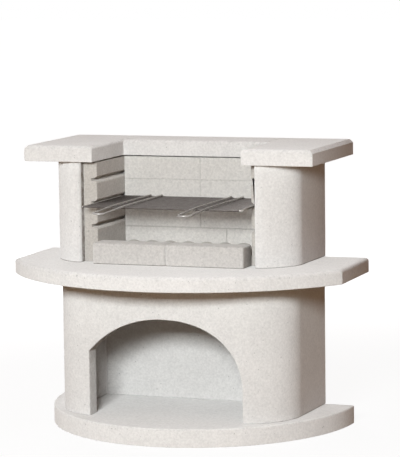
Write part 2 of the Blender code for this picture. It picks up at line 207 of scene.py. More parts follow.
def inward_steps(along_in, along_out):
    """The two edges' inward normals at each point, their product, and their sum over one plus that product."""
    normal_in, normal_out = [np.stack([-along[:, 1], along[:, 0]], 1) / np.linalg.norm(along, axis=1)[:, None]
                             for along in (along_in, along_out)]
    product = (normal_in * normal_out).sum(1)
    return normal_in, normal_out, product, (normal_in + normal_out) / (1 + product)[:, None]


def edge_lines(outline, sharp=0.35, corner_steps=5):
    """For an anticlockwise outline: its points, each one's step inwards, and the turn that rounds a corner.

    A step keeps one unit from both edges. A point that turns by more than the sharp angle is repeated, and its
    turn is the step less a normal swung from one edge's to the next one's; a hollow corner turns the other way.
    """
    normal_in, normal_out, product, step = inward_steps(outline - np.roll(outline, 1, 0),
                                                        np.roll(outline, -1, 0) - outline)
    angle = np.arctan2(normal_in[:, 0] * normal_out[:, 1] - normal_in[:, 1] * normal_out[:, 0], product)
    copies = np.where(np.abs(angle) > sharp, corner_steps + 1, 1)
    source = np.repeat(np.arange(len(outline)), copies)
    rank = np.arange(len(source)) - np.repeat(np.cumsum(copies) - copies, copies)
    swing = angle[source] * rank / np.maximum(copies[source] - 1, 1)
    start = normal_in[source]
    normal = np.stack([start[:, 0] * np.cos(swing) - start[:, 1] * np.sin(swing),
                       start[:, 0] * np.sin(swing) + start[:, 1] * np.cos(swing)], 1)
    turn = (step[source] - normal) * np.sign(angle[source])[:, None] * (copies[source] > 1)[:, None]
    return outline[source], step[source], turn


def section_rows(low, high, top_edge, low_edge, corner, guard=0.002, sections=8):
    """Rows of inset, height, corner radius and edge mark from the low face, up the side, to the high face.

    Each edge is a quarter circle, with a guard row on both sides of it that keeps the flat faces flat. A
    corner's radius falls with the inset as its square over radius plus inset.
    """
    share = np.linspace(0, math.pi / 2, round_steps + 1)
    side = np.linspace(low + low_edge + guard, high - top_edge - guard, sections)
    inset = np.concatenate([[low_edge + guard], low_edge * (1 - np.sin(share)), 0 * side,
                            top_edge * (1 - np.cos(share)), [top_edge + guard]])
    height = np.concatenate([[low], low + low_edge * (1 - np.cos(share)), side,
                             high - top_edge * (1 - np.sin(share)), [high]])
    mark = np.concatenate([[0], 0 * share + 1, 0 * side, 0 * share + 1, [0]])
    return inset, height, corner ** 2 / (corner + inset), mark


def casting(name, look, nodes, outline, low, high, top_edge, low_edge=foot_edge, corner=mould_corner,
            body="masonry", upright=True, held=None, cut=None, dirt_and_painted_shade=None):
    """A closed solid with rounded edges: an outline carried up in rings, each inset as its row says.

    A ring is the outline plus its steps times the inset plus its turns times the corner radius. An upright
    piece has its outline in plan; another has it seen from the front, and is carried from rear to front.
    held weakens the inset towards a neighbour, as factors for the steps; cut says where the top edge is a
    straight bevel, whose inset grows evenly with the height; the last argument gives a darkening from the points,
    real dirt on some pieces and painted shade on others.
    """
    points, steps, turns = edge_lines(outline)
    if held is not None:
        steps = steps * held(points)
    inset, height, corner_row, mark = section_rows(low, high, top_edge, low_edge, corner)
    ring = points[None] + steps[None] * inset[:, None, None] + turns[None] * corner_row[:, None, None]
    if cut is not None:
        bevel = np.clip(height - (high - top_edge), 0, top_edge) - inset
        bevel[height < high - top_edge] = 0
        bevel[-1] = 0
        ring = ring + (steps * cut(points))[None] * bevel[:, None, None]
    level = np.broadcast_to(height[:, None], ring.shape[:2])
    cloud = np.stack([ring[..., 0], ring[..., 1], level] if upright else [ring[..., 0], -level, ring[..., 1]], -1)
    shell_piece(name, look, body, nodes, cloud, np.broadcast_to(mark[:, None], ring.shape[:2]), dirt_and_painted_shade)


def grid_faces(rows, columns, joined=False):
    """Quads between rows of points that each close on themselves; the ends are capped, or joined to each other."""
    index = np.arange(rows * columns).reshape(rows, columns)
    here, above = (index, np.roll(index, -1, 0)) if joined else (index[:-1], index[1:])
    quads = np.stack([here, np.roll(here, -1, 1), np.roll(above, -1, 1), above], -1).reshape(-1, 4).tolist()
    return quads if joined else quads + [index[0][::-1].tolist(), index[-1].tolist()]


def shell_piece(name, look, body, nodes, cloud, edge, dirt_and_painted_shade):
    """A closed solid from a grid of points, with its edge marks and its darkening, worked out from the points.

    The darkening is real dirt on some pieces and painted shade on others.
    """
    attributes = {"edge": edge}
    if dirt_and_painted_shade is not None:
        attributes["dirt_and_painted_shade"] = dirt_and_painted_shade(cloud)
    put_in(name, cloud.reshape(-1, 3).tolist(), grid_faces(*cloud.shape[:2]), look, body, nodes,
           attributes, sharp_degrees=38.0)


def put_in(name, points, faces, look, body, nodes, attributes, sharp_degrees):
    """The mesh and its object, smooth where faces meet at less than the sharp angle.

    Each attribute is a value for every point, which the material reads.
    """
    mesh = bpy.data.meshes.new(name)
    mesh.from_pydata(points, [], faces)
    for label, values in attributes.items():
        mesh.attributes.new(label, "FLOAT", "POINT").data.foreach_set(
            "value", np.ascontiguousarray(values, dtype=np.float32).ravel())
    mesh.shade_smooth()
    mesh.set_sharp_from_angle(angle=math.radians(sharp_degrees))
    mesh.materials.append(look)
    piece = bpy.data.objects.new(name, mesh)
    bpy.context.scene.collection.objects.link(piece)
    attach(piece, body)
    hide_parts(*nodes)


def new_group(name, inputs, outputs):
    """A shader node group with its named sockets, as tree, input node and output node."""
    tree = bpy.data.node_groups.new(name, "ShaderNodeTree")
    for socket, kind in inputs:
        tree.interface.new_socket(socket, in_out="INPUT", socket_type="NodeSocket" + kind)
    for socket, kind in outputs:
        tree.interface.new_socket(socket, in_out="OUTPUT", socket_type="NodeSocket" + kind)
    return tree, tree.nodes.new("NodeGroupInput"), tree.nodes.new("NodeGroupOutput")


# The face of a mineral casting: cloudy tone, stippled sand, air pits of random size, sparse dark grains, small
# chips along the rounded edges, and a darkening where the piece is marked for it: real dirt on some pieces,
# painted shade on others.
cast_face, cast_in, cast_out = new_group(
    "cast_face",
    [("Place", "Vector"), ("Colour", "Color"), ("Edge", "Float"), ("Dirt_and_painted_shade", "Float"), ("Cloud", "Float"),
     ("Sand", "Float"), ("Pits", "Float"), ("Grains", "Float")],
    [("Colour", "Color"), ("Roughness", "Float"), ("Height", "Float")])
place = cast_in.outputs["Place"]
dirt_and_shade_colour = (0.080, 0.050, 0.026, 1.0)


def noise_over(tree, vector, scale, detail, roughness):
    """The factor of a noise texture."""
    return add_node(tree, "ShaderNodeTexNoise", [("Vector", vector)], Scale=scale, Detail=detail,
                    Roughness=roughness).outputs["Fac"]


def face_maths(operation, first, second):
    """One Math node in the casting's group."""
    return maths(cast_face, operation, first, second)


def times(first, second):
    """A product in the casting's group."""
    return face_maths("MULTIPLY", first, second)


def around_half(noise, factor):
    """A noise's departure from one half, times a factor."""
    return times(face_maths("SUBTRACT", noise, 0.5), factor)


def random_cells(scale, channel, power, largest):
    """Distances to the points of random cells, and each cell's own radius: a random value to a power, scaled."""
    cells = add_node(cast_face, "ShaderNodeTexVoronoi", [("Vector", place)], Scale=scale)
    parts = add_node(cast_face, "ShaderNodeSeparateColor", [("Color", cells.outputs["Color"])])
    radius = times(face_maths("POWER", parts.outputs[channel], power), largest)
    return cells.outputs["Distance"], radius


cloud_noise = noise_over(cast_face, place, scale=5.0, detail=4.0, roughness=0.6)
mottle_noise = noise_over(cast_face, place, scale=38.0, detail=4.0, roughness=0.6)
stipple_noise = noise_over(cast_face, place, scale=135.0, detail=2.0, roughness=0.5)
sand_noise = noise_over(cast_face, place, scale=420.0, detail=2.0, roughness=0.6)
chip_noise = noise_over(cast_face, place, scale=90.0, detail=3.0, roughness=0.6)
pit_distance, pit_radius = random_cells(scale=62.0, channel=0, power=4.0, largest=0.18)
pit_mask = face_maths("DIVIDE", pit_distance, face_maths("ADD", pit_radius, 0.001))
pit_mask = face_maths("MAXIMUM", face_maths("SUBTRACT", 1.0, pit_mask), 0.0)
pit_mask = face_maths("MINIMUM", times(pit_mask, 2.5), 1.0)
pit_mask = times(pit_mask, cast_in.outputs["Pits"])
grain_distance, grain_radius = random_cells(scale=95.0, channel=1, power=8.0, largest=0.17)
grain_mask = times(face_maths("LESS_THAN", grain_distance, grain_radius), cast_in.outputs["Grains"])
chip_mask = times(face_maths("SUBTRACT", chip_noise, 0.52), 9.0)
chip_mask = face_maths("MINIMUM", face_maths("MAXIMUM", chip_mask, 0.0), 1.0)
chip_mask = times(chip_mask, cast_in.outputs["Edge"])

tone = 1.0
for noise, factor in ((cloud_noise, cast_in.outputs["Cloud"]), (mottle_noise, cast_in.outputs["Cloud"]),
                      (stipple_noise, times(cast_in.outputs["Sand"], 2.4)),
                      (sand_noise, times(cast_in.outputs["Sand"], 1.4))):
    tone = face_maths("ADD", tone, around_half(noise, factor))
for mask, depth in ((pit_mask, 0.30), (grain_mask, 0.32), (chip_mask, 0.08)):
    tone = face_maths("SUBTRACT", tone, times(mask, depth))
toned = add_node(cast_face, "ShaderNodeVectorMath", [(0, cast_in.outputs["Colour"]), ("Scale", tone)],
                 operation="SCALE")
# The marked darkening: real dirt on some pieces, painted shade on others.
dirt_and_shade_patch = times(cast_in.outputs["Dirt_and_painted_shade"], face_maths("ADD", 0.80, around_half(mottle_noise, 1.6)))
dirt_and_shade_mixed = add_node(cast_face, "ShaderNodeMix", [("Factor", dirt_and_shade_patch), ("A", toned.outputs[0])],
                  data_type="RGBA", B=dirt_and_shade_colour)
height = times(sand_noise, 0.30)
for noise, share in ((stipple_noise, 0.85), (mottle_noise, 0.6), (pit_mask, -0.8), (chip_mask, -0.7)):
    height = face_maths("ADD", height, times(noise, share))
cast_roughness = face_maths("ADD", times(mottle_noise, 0.16), 0.80)
feed(cast_face, cast_out, [("Colour", dirt_and_shade_mixed.outputs["Result"]), ("Height", height), ("Roughness", cast_roughness)])


def grouped_look(name, colour, settings, group, values, attributes, shift, bump_strength, bump_distance):
    """A Principled material whose colour, roughness and relief come from a node group.

    settings go to the shader and values to the group; attributes feed the group's sockets of the same name.
    The pattern lies on Object coordinates, moved by the shift.
    """
    look, tree, shader = principled(name, (*colour, 1.0), settings)
    face = tree.nodes.new("ShaderNodeGroup")
    face.node_tree = group
    for socket, value in values.items():
        face.inputs[socket].default_value = value
    spot = add_node(tree, "ShaderNodeTexCoord")
    moved = add_node(tree, "ShaderNodeMapping", [("Vector", spot.outputs["Object"])], Location=shift)
    feed(tree, face, [("Place", moved.outputs[0])])
    for socket in attributes:
        mark = add_node(tree, "ShaderNodeAttribute", attribute_name=socket.lower())
        feed(tree, face, [(socket, mark.outputs["Fac"])])
    bump = add_node(tree, "ShaderNodeBump", [("Height", face.outputs["Height"])], Strength=bump_strength,
                    Distance=bump_distance)
    feed(tree, shader, [("Base Color", face.outputs["Colour"]), ("Roughness", face.outputs["Roughness"]),
                        ("Normal", bump.outputs[0])])
    return look


def mineral(name, colour, shift, cloud, sand, pits=1.0, grains=0.6, relief=0.0008):
    """A material for a mineral casting; shift moves the pattern so that no two castings are alike."""
    return grouped_look(
        name, colour, {"Specular IOR Level": 0.25, "Diffuse Roughness": 0.8}, cast_face,
        {"Colour": (*colour, 1.0), "Cloud": cloud, "Sand": sand, "Pits": pits, "Grains": grains},
        ("Edge", "Dirt_and_painted_shade"), shift, bump_strength=1.0, bump_distance=relief)


white_concrete = (0.800, 0.790, 0.775)


def white_casting_look(name, shift, painted_light_factor=1.0):
    """The white cast concrete of the shell; its factor, above one only for the base, paints light into the colour."""
    colour = tuple(c * painted_light_factor for c in white_concrete)
    return mineral(name, colour, shift, cloud=0.13, sand=0.13, grains=1.0, relief=0.0006)


def fade(distance, start, reach):
    """One up to the start, then falling evenly to nothing over the reach."""
    return np.clip(1 - (distance - start) / reach, 0, 1)


def painted_top_shade(top, amount):
    """A function that darkens the top face alone, evenly: painted shade."""
    return lambda cloud: amount * fade(top - cloud[..., 2], start=0, reach=0.0002)


swing = np.linspace(-math.pi, 0, 241)
base_plan = np.stack([base_half * np.cos(swing), rear_y + base_depth * np.sin(swing)], 1)
# The base is painted lighter than the other castings, and its top darker: painted light and painted shade.
casting("base_slab_casting", white_casting_look("base_concrete", (0.0, 0.0, 0.0), painted_light_factor=1.045),
        ["base_slab"], base_plan, 0.0, base_height, base_edge, dirt_and_painted_shade=painted_top_shade(base_height, 0.15))

# Lower wall
# One U-shaped casting of white concrete round the store, mortared on the base; it is bowed in front and a little
# wider at the rear. An arch goes straight through its front: an upright jamb on the left, a quarter oval on the
# right.
wall_thick = 0.063
lower_middle_x = -0.0035
lower_low = 0.0633
lower_high = 0.5363
lower_front_y = -0.1585
lower_front_radius = 2.13
lower_corner_radius = 0.181
lower_corner_end = 0.82 * math.pi / 2
lower_side_radius = 0.250
lower_half = 0.4325
lower_flare = 0.0105
arch_left_x = -0.279
arch_right_x = 0.277
arch_top_x = -0.006
arch_top_z = 0.411
arch_left_kink_z = 0.289
arch_right_spring_z = 0.164
arch_fullness = 0.90
arch_edge = 0.003
panel_thick = 0.040
# Painted shade inside the store, darkest high up under the arch.
store_shade_amount = 0.92
store_shade_low = 0.17
store_shade_rise = 0.20
store_shade_least = 0.30
side_fan = 0.07          # by which the upright lines of the front spread from foot to head
straight_inner = 0.28    # length of the sides over which the inner face is straight
front_points = 64        # points of the plan over which it gets wider


def arc_chain(start, arcs):
    """Arcs that run on from each other, as points and headings; each has a radius, an end heading and a count.

    An arc's centre lies a radius to the left of its start. A point is the centre plus the radius times the sine
    and the negative cosine of its heading.
    """
    points, headings = np.array([start]), np.zeros(1)
    for radius, end, count in arcs:
        heading = np.linspace(headings[-1], end, count)
        rays = radius * np.stack([np.sin(heading), -np.cos(heading)], 1)
        points = np.concatenate([points, (points[-1] - rays[0] + rays)[1:]])
        headings = np.concatenate([headings, heading[1:]])
    return points, headings


corner_width = lower_corner_radius * math.sin(lower_corner_end) + lower_side_radius * (
    1 - math.sin(lower_corner_end))
front_end = math.asin((lower_half - corner_width) / (lower_front_radius - lower_corner_radius))
half_plan, half_heading = arc_chain((0.0, lower_front_y), (
    (lower_front_radius, front_end, 30), (lower_corner_radius, lower_corner_end, 34),
    (lower_side_radius, math.pi / 2, 8)))
rear_run = np.linspace(0, 1, 12)[1:, None]
rear_end = np.array([lower_half + lower_flare, rear_y])
half_plan = np.concatenate([half_plan, half_plan[-1] + (rear_end - half_plan[-1]) * rear_run])
half_heading = np.concatenate([half_heading, np.full(len(rear_run), math.pi / 2)])
half_run = np.concatenate([[0], np.cumsum(np.linalg.norm(np.diff(half_plan, axis=0), axis=1))])


def wall_point(run, height, depth):
    """A point of the lower wall from its distance along the outer face, its height and its depth in the wall.

    The distance is counted from the middle of the front, negative on the left. The outer and inner faces are
    read off the plan at that distance, and the depth goes in a straight line from one to the other. In front
    of the arch that line points straight back; past the jamb it swings round until it crosses the side.
    """
    side = np.sign(run)
    distance = np.abs(run)
    x = np.interp(distance, half_run, half_plan[:, 0])
    y = np.interp(distance, half_run, half_plan[:, 1])
    heading = np.interp(distance, half_run, half_heading)
    jamb = np.where(side < 0, lower_middle_x - arch_left_x, arch_right_x - lower_middle_x)
    jamb_heading = np.interp(np.interp(jamb, half_plan[:, 0], half_run), half_run, half_heading)
    swung = np.clip((heading - jamb_heading) / (math.pi / 2 - jamb_heading), 0, 1) * math.pi / 2
    inner_x = x - wall_thick * np.sin(swung)
    inner_x = np.where(distance > half_run[-1] - straight_inner, np.minimum(inner_x, lower_half - wall_thick),
                       inner_x)
    inner_y = y + wall_thick * np.cos(swung)
    share = depth / wall_thick
    return np.stack([lower_middle_x + side * (x + (inner_x - x) * share), y + (inner_y - y) * share,
                     height + 0 * x], -1)


def run_at(x):
    """The distance along the outer face at which the front is at x."""
    from_middle = np.asarray(x) - lower_middle_x
    return np.sign(from_middle) * np.interp(np.abs(from_middle), half_plan[:front_points, 0], half_run[:front_points])


outer_end = half_run[-1]
left_foot = run_at(arch_left_x)
right_foot = run_at(arch_right_x)
left_span = arch_top_x - arch_left_x
left_rise = arch_top_z - arch_left_kink_z
left_radius = (left_span ** 2 + left_rise ** 2) / (2 * left_rise)
left_swing = np.linspace(math.asin(left_span / left_radius), 0, 30)
left_arch = np.stack([arch_top_x - left_radius * np.sin(left_swing),
                      arch_top_z - left_radius * (1 - np.cos(left_swing))], 1)
right_swing = np.linspace(math.pi / 2, 0, 36)[1:]
right_arch = np.stack([arch_top_x + (arch_right_x - arch_top_x) * np.cos(right_swing) ** arch_fullness,
                       arch_right_spring_z + (arch_top_z - arch_right_spring_z)
                       * np.sin(right_swing) ** arch_fullness], 1)
leg_run = np.linspace(0, 1, 44)[:-1]
jamb_run = np.linspace(0, 1, 9)[:-1]
leg_low = np.full(len(leg_run), lower_low)
left_leg = np.stack([-outer_end + (left_foot + outer_end) * leg_run, leg_low], 1)
right_leg = np.stack([outer_end - (outer_end - right_foot) * leg_run[::-1], leg_low], 1)
left_jamb = np.stack([0 * jamb_run + left_foot, lower_low + (arch_left_kink_z - lower_low) * jamb_run], 1)
right_jamb = np.stack([0 * jamb_run + right_foot,
                       lower_low + (arch_right_spring_z - lower_low) * jamb_run[::-1]], 1)
arch_path = np.concatenate([left_arch, right_arch])
arch_path[:, 0] = run_at(arch_path[:, 0])
foot_path = np.concatenate([left_leg, left_jamb, arch_path, right_jamb, right_leg])
lift = inward_steps(np.diff(foot_path, axis=0, prepend=foot_path[:1] - [[0.01, 0]]),
                    np.diff(foot_path, axis=0, append=foot_path[-1:] + [[0.01, 0]]))[3]
leg_count, jamb_count = len(leg_run), len(jamb_run)
head_run = foot_path[:, 0].copy()
head_run[:leg_count] = -outer_end + (left_foot + outer_end - side_fan) * leg_run
head_run[leg_count:leg_count + jamb_count] = left_foot - side_fan * (1 - jamb_run)
head_run[-leg_count:] = outer_end - (outer_end - right_foot - side_fan) * leg_run[::-1]
head_run[-leg_count - jamb_count:-leg_count] = right_foot + side_fan * (1 - jamb_run[::-1])

# Across the wall: up the outer face from the foot's rounded edge to the head's, and down the inner face.
quarter_turn = np.linspace(0, math.pi / 2, round_steps + 1)
ones = np.ones(round_steps + 1)
face_rise = np.concatenate([[0.012], np.linspace(0.06, 0.94, 12), [0.988]])
leaving = arch_edge * (1 - np.cos(quarter_turn))
arriving = arch_edge * (1 - np.sin(quarter_turn))
outer_lift = np.concatenate([leaving, 0 * face_rise + arch_edge, ones * arch_edge])
outer_rise = np.concatenate([0 * ones, face_rise, ones])
outer_drop = np.concatenate([ones * arch_edge, 0 * face_rise + arch_edge, arriving])
outer_depth = np.concatenate([arriving, 0 * face_rise, leaving])
outer_mark = np.concatenate([ones, 0 * face_rise, ones])
loop_lift, loop_rise, loop_drop, loop_mark = (
    np.concatenate([row, row[::-1]])[None] for row in (outer_lift, outer_rise, outer_drop, outer_mark))
loop_depth = np.concatenate([outer_depth, wall_thick - outer_depth[::-1]])
low_run = foot_path[:, None, 0] + lift[:, None, 0] * loop_lift
low_height = foot_path[:, None, 1] + lift[:, None, 1] * loop_lift
wall_run = low_run + (head_run[:, None] - low_run) * loop_rise
wall_height = low_height + (lower_high - loop_drop - low_height) * loop_rise
wall_depth = np.broadcast_to(loop_depth[None], wall_run.shape)


def painted_store_shade(cloud):
    """Painted shade on the inner faces of the store, from the front edge inwards and thickest under the arch."""
    inwards = np.clip(wall_depth[::-1] / arch_edge, 0, 1)
    raised = np.clip((cloud[..., 2] - store_shade_low) / store_shade_rise, store_shade_least, 1)
    return store_shade_amount * inwards * raised * fade(cloud[..., 1] - rear_y + panel_thick, start=-0.02, reach=0.02)


shell_piece("lower_wall_casting", white_casting_look("lower_wall_concrete", (1.3, 0.4, 0.2)), "masonry",
            ["lower_wall"], wall_point(wall_run, wall_height, wall_depth)[::-1],
            np.broadcast_to(loop_mark, wall_run.shape), painted_store_shade)

# Lower back panel
# A flat plate of white concrete, cast in a tray and mortared between the legs of the lower wall.
# Its inner face is seen through the arch.
hairline = 0.0003
panel_half = lower_half - wall_thick - hairline
plate_edge = 0.002


def rectangle(x0, x1, y0, y1, count=2):
    """An anticlockwise rectangle, its sides divided into equal runs."""
    run = np.linspace(0, 1, count, endpoint=False)[:, None]
    corners = np.array([(x0, y0), (x1, y0), (x1, y1), (x0, y1)])
    return np.concatenate([corners[i] + (corners[(i + 1) % 4] - corners[i]) * run for i in range(4)])


casting("lower_back_plate", white_casting_look("lower_panel_concrete", (2.1, 0.7, 0.9)), ["lower_back_panel"],
        rectangle(lower_middle_x - panel_half, lower_middle_x + panel_half, lower_low, lower_high),
        -rear_y, panel_thick - rear_y, plate_edge, plate_edge, upright=False)

# Work slab
# A wide slab of white concrete with a bowed front and two wings, bedded on the lower wall.
# It was cast in one piece; its top edge keeps the mould's round, and it carries the upper walls and the hearth.
table_half = 0.600
table_low = 0.5366
table_high = 0.5881
table_edge = 0.013
table_radius = 0.6963
table_front_y = -0.374

table_swing_end = math.asin(table_half / table_radius)
table_swing = np.linspace(-table_swing_end, table_swing_end, 181)
table_front = np.stack([table_radius * np.sin(table_swing),
                        table_front_y + table_radius * (1 - np.cos(table_swing))], 1)
table_plan = np.concatenate([[(table_half, rear_y), (-table_half, rear_y)], table_front])
casting("work_slab_casting", white_casting_look("work_slab_concrete", (0.4, 1.9, 1.1)), ["table_slab"],
        table_plan, table_low, table_high, table_edge, low_edge=0.003)

# Upper side walls
# Two upright castings of white concrete beside the firebox, each with a swept nose in front; they carry the crown.
# They are mortared to the work slab, so only a hairline shows at the foot.
upper_middle_x = -0.010
upper_low = 0.5884
upper_high = 0.9389
upper_inner_half = 0.3165
nose_front_y = -0.0835
nose_inner_width = 0.006
nose_inner_depth = 0.014
nose_flare = 0.009
nose_front_radius, nose_front_end = 0.190, 0.051 * math.pi / 2
nose_tip_radius, nose_tip_end = 0.039, 0.35 * math.pi / 2
nose_cheek_radius, nose_cheek_end = 0.222, 0.593 * math.pi / 2
nose_side_radius = 0.137
wall_edge = 0.0015
# Painted shade in the gap beside the lining, and a painted contact shadow along the feet of walls and bricks.
painted_gap_shade = 0.85
painted_foot_shade = 0.75


def nose_plan(side):
    """Plan of an upper wall: four arcs that run on from the nose's front to the side, and a quarter oval inside."""
    outer = arc_chain((0.0, nose_front_y), (
        (nose_front_radius, nose_front_end, 6), (nose_tip_radius, nose_tip_end, 14),
        (nose_cheek_radius, nose_cheek_end, 14), (nose_side_radius, math.pi / 2, 20)))[0]
    outer = np.concatenate([outer, [outer[-1] * [1, 0] + [nose_flare, rear_y]]])
    turn = np.linspace(math.pi, 1.5 * math.pi, 12)[:-1]
    inner = np.stack([nose_inner_width * np.cos(turn), nose_front_y + nose_inner_depth * (1 + np.sin(turn))], 1)
    points = np.concatenate([[(-nose_inner_width, rear_y)], inner, outer])
    points[:, 0] += upper_inner_half + nose_inner_width
    if side < 0:
        points = points[::-1] * [-1, 1]
    return points + [upper_middle_x, 0]


def painted_joint_shade(cloud):
    """Painted shade on the flat inner face beside the lining, up to where the nose's corner begins to round, and a
    painted contact shadow in the joint at the foot."""
    off_face = np.abs(cloud[..., 0] - upper_middle_x) - upper_inner_half
    before_flat = nose_front_y + nose_inner_depth - cloud[..., 1]
    beside = painted_gap_shade * fade(off_face, start=0, reach=0.0006) * fade(before_flat, start=0, reach=0.0015)
    return np.maximum(beside, painted_foot_shade * fade(cloud[..., 2] - upper_low, start=0.0020, reach=0.0010))


for label, side, shift in (("left", -1, (0.2, 3.1, 0.3)), ("right", 1, (2.6, 0.1, 2.3))):
    casting(f"upper_wall_{label}_casting", white_casting_look(f"upper_{label}_concrete", shift),
            [f"upper_wall_{label}"], nose_plan(side), upper_low, upper_high, wall_edge, dirt_and_painted_shade=painted_joint_shade)

# Upper back panel
# A flat plate of white concrete behind the firebox, cast like the lower one.
# It stands on the work slab, mortared between the upper walls.
upper_panel_half = upper_inner_half - hairline
casting("upper_back_plate", white_casting_look("upper_panel_concrete", (1.1, 1.7, 0.6)), ["upper_back_panel"],
        rectangle(upper_middle_x - upper_panel_half, upper_middle_x + upper_panel_half, upper_low, upper_high),
        -rear_y, panel_thick - rear_y, plate_edge, plate_edge, upright=False)

# Crown
# Three slabs of white concrete in a U, bedded on the upper walls and butted at the rear corners.
# The free top edges are rounded, and the butted edges are only eased.
crown_low = 0.9392
crown_high = 0.9942
crown_half = 0.522
crown_inner_half = 0.270
crown_front_y = -0.109
crown_rear_y = 0.374
crown_joint_y = 0.187
crown_edge = 0.012
crown_low_edge = 0.002
joint_ease = 0.14
touching = 1e-6
inner_darkening_amount = 0.22


def side_cap_plan(side):
    """Plan of a side slab of the crown, with an extra point where its rounded inner edge ends."""
    points = np.array([(crown_inner_half, crown_front_y), (crown_half, crown_front_y), (crown_half, crown_rear_y),
                       (crown_inner_half, crown_rear_y), (crown_inner_half, crown_joint_y),
                       (crown_inner_half, crown_joint_y - crown_edge)])
    return points if side > 0 else points[::-1] * [-1, 1]


def butted_side(points):
    """Factors that ease the steps across the butted edge of a side slab."""
    on_joint = (np.abs(points[:, 0]) < crown_inner_half + touching) & (points[:, 1] > crown_joint_y - touching)
    return np.stack([np.where(on_joint, joint_ease, 1.0), np.ones(len(points))], 1)


def struck_side(points):
    """The outer long side of a side slab, whose top edge was struck off straight."""
    return np.stack([np.where(np.abs(points[:, 0]) > crown_half - touching, 1.0, 0.0), np.zeros(len(points))], 1)


# Painted shade on the crown's top faces.
crown_top_shade = painted_top_shade(crown_high, 0.07)


def inner_darkening_and_top_shade(cloud):
    """A thin darkening of the faces that look at each other over the fire, but not round their corners, and the
    painted shade on the top.
    """
    off_face = np.abs(cloud[..., 0]) - crown_inner_half
    off_front = cloud[..., 1] - crown_front_y
    behind = fade(off_face - off_front, start=-0.0021, reach=0.0006)
    before_joint = fade(cloud[..., 1] - crown_joint_y, start=-0.002, reach=0.002)
    return np.maximum(inner_darkening_amount * behind * before_joint * fade(off_face, start=0, reach=0.006), crown_top_shade(cloud))


for label, side, shift in (("left", -1, (3.3, 0.2, 0.8)), ("right", 1, (0.9, 2.2, 3.4))):
    casting(f"crown_slab_{label}", white_casting_look(f"crown_{label}_concrete", shift), [f"cap_{label}"],
            side_cap_plan(side), crown_low, crown_high, crown_edge, crown_low_edge, held=butted_side,
            cut=struck_side, dirt_and_painted_shade=inner_darkening_and_top_shade)
back_half = crown_inner_half - hairline
casting("crown_slab_rear", white_casting_look("crown_rear_concrete", (1.8, 3.8, 1.5)), ["cap_back"],
        rectangle(-back_half, back_half, crown_joint_y, crown_rear_y, 1), crown_low, crown_high, crown_edge,
        crown_low_edge, held=lambda points: [joint_ease, 1.0], dirt_and_painted_shade=crown_top_shade)

# Side linings
# Two grey-beige castings of refractory concrete, loose in front of the walls; three grooves hold the grid.
# The mould's corners are eased, and the grooves are a little wider at the mouth.
firebox_half = 0.2755
lining_low = 0.5884
lining_high = 0.9332
lining_rear_y = 0.2527
lining_left_front_y = -0.052
lining_right_front_y = -0.0185
lining_left_outer = 0.3255
lining_right_outer = 0.3055
lining_edge = 0.003
lining_rear_edge = 0.002
lining_corner = 0.0016
grooved_face_darkening_amount = 0.24
lip_heights = (0.7008, 0.7812, 0.8616)
groove_depth = 0.022
mouth_depth = 0.008
mouth_height = 0.0245
groove_floor = 0.007
groove_ceiling = 0.018
lining_concrete = (0.605, 0.576, 0.538)


def lining_outline(side, outer):
    """Section of a lining seen from the front, anticlockwise, its grooved face towards the firebox."""
    points = [(firebox_half, lining_high), (outer, lining_high), (outer, lining_low), (firebox_half, lining_low)]
    for lip in lip_heights:
        points += [(firebox_half, lip), (firebox_half + mouth_depth, lip + groove_floor),
                   (firebox_half + groove_depth, lip + groove_floor),
                   (firebox_half + groove_depth, lip + groove_ceiling),
                   (firebox_half + mouth_depth, lip + groove_ceiling), (firebox_half, lip + mouth_height)]
    points = np.array(points)
    return points[::-1] if side > 0 else points * [-1, 1]


def grooved_face_darkening(cloud):
    """A darkening of the grooved face, right up to its front edge."""
    off_face = np.abs(cloud[..., 0]) - firebox_half
    before = fade(lining_left_front_y - cloud[..., 1], start=-0.004, reach=0.002)
    return grooved_face_darkening_amount * fade(off_face, start=0.001, reach=0.002) * before


for label, side, outer, front_y, shift in (
        ("left", -1, lining_left_outer, lining_left_front_y, (0.6, 0.2, 1.2)),
        ("right", 1, lining_right_outer, lining_right_front_y, (2.6, 1.2, 0.2))):
    look = mineral(f"lining_{label}_concrete", lining_concrete, shift, cloud=0.16, sand=0.22, relief=0.0009)
    casting(f"lining_{label}_casting", look, [f"lining_{label}"], lining_outline(side, outer), -lining_rear_y,
            -front_y, lining_edge, lining_rear_edge, lining_corner, upright=False,
            dirt_and_painted_shade=grooved_face_darkening)

# Back lining
# Four courses of two refractory blocks behind the fire, laid dry with hairline joints and eased edges.
# The lowest course has its upright joint further to the right.
block_front_y = 0.208
block_rear_y = 0.247
block_levels = (0.5884, 0.6854, 0.7704, 0.8544, 0.9332)
upper_joint_x = 0.011
lowest_joint_x = 0.107
block_edge = 0.002
block_rear_edge = 0.001
block_corner = 0.0015
heavy_dirt = 0.22
light_dirt = 0.08
block_concrete = (0.722, 0.703, 0.672)
# The two lowest courses are lighter: painted light, over the grid's shadow band and below it.
course_painted_light = (1.03, 1.10, 1.0, 1.0)


def joint_dirt(cloud):
    """Ash in the joints between the blocks: most along the top of the lowest course and in its upright joint."""
    across, height = cloud[..., 0], cloud[..., 2]
    lowest = height < block_levels[1] + hairline / 2
    to_course = np.abs(height[..., None] - np.array(block_levels)).min(-1)
    to_upright = np.abs(across - np.where(lowest, lowest_joint_x, upper_joint_x))
    heavy = lowest | (np.abs(height - block_levels[1]) < 0.004)
    to_joint = np.minimum(to_course, to_upright)
    return np.where(heavy, heavy_dirt, light_dirt) * fade(to_joint, start=0.001, reach=0.002)


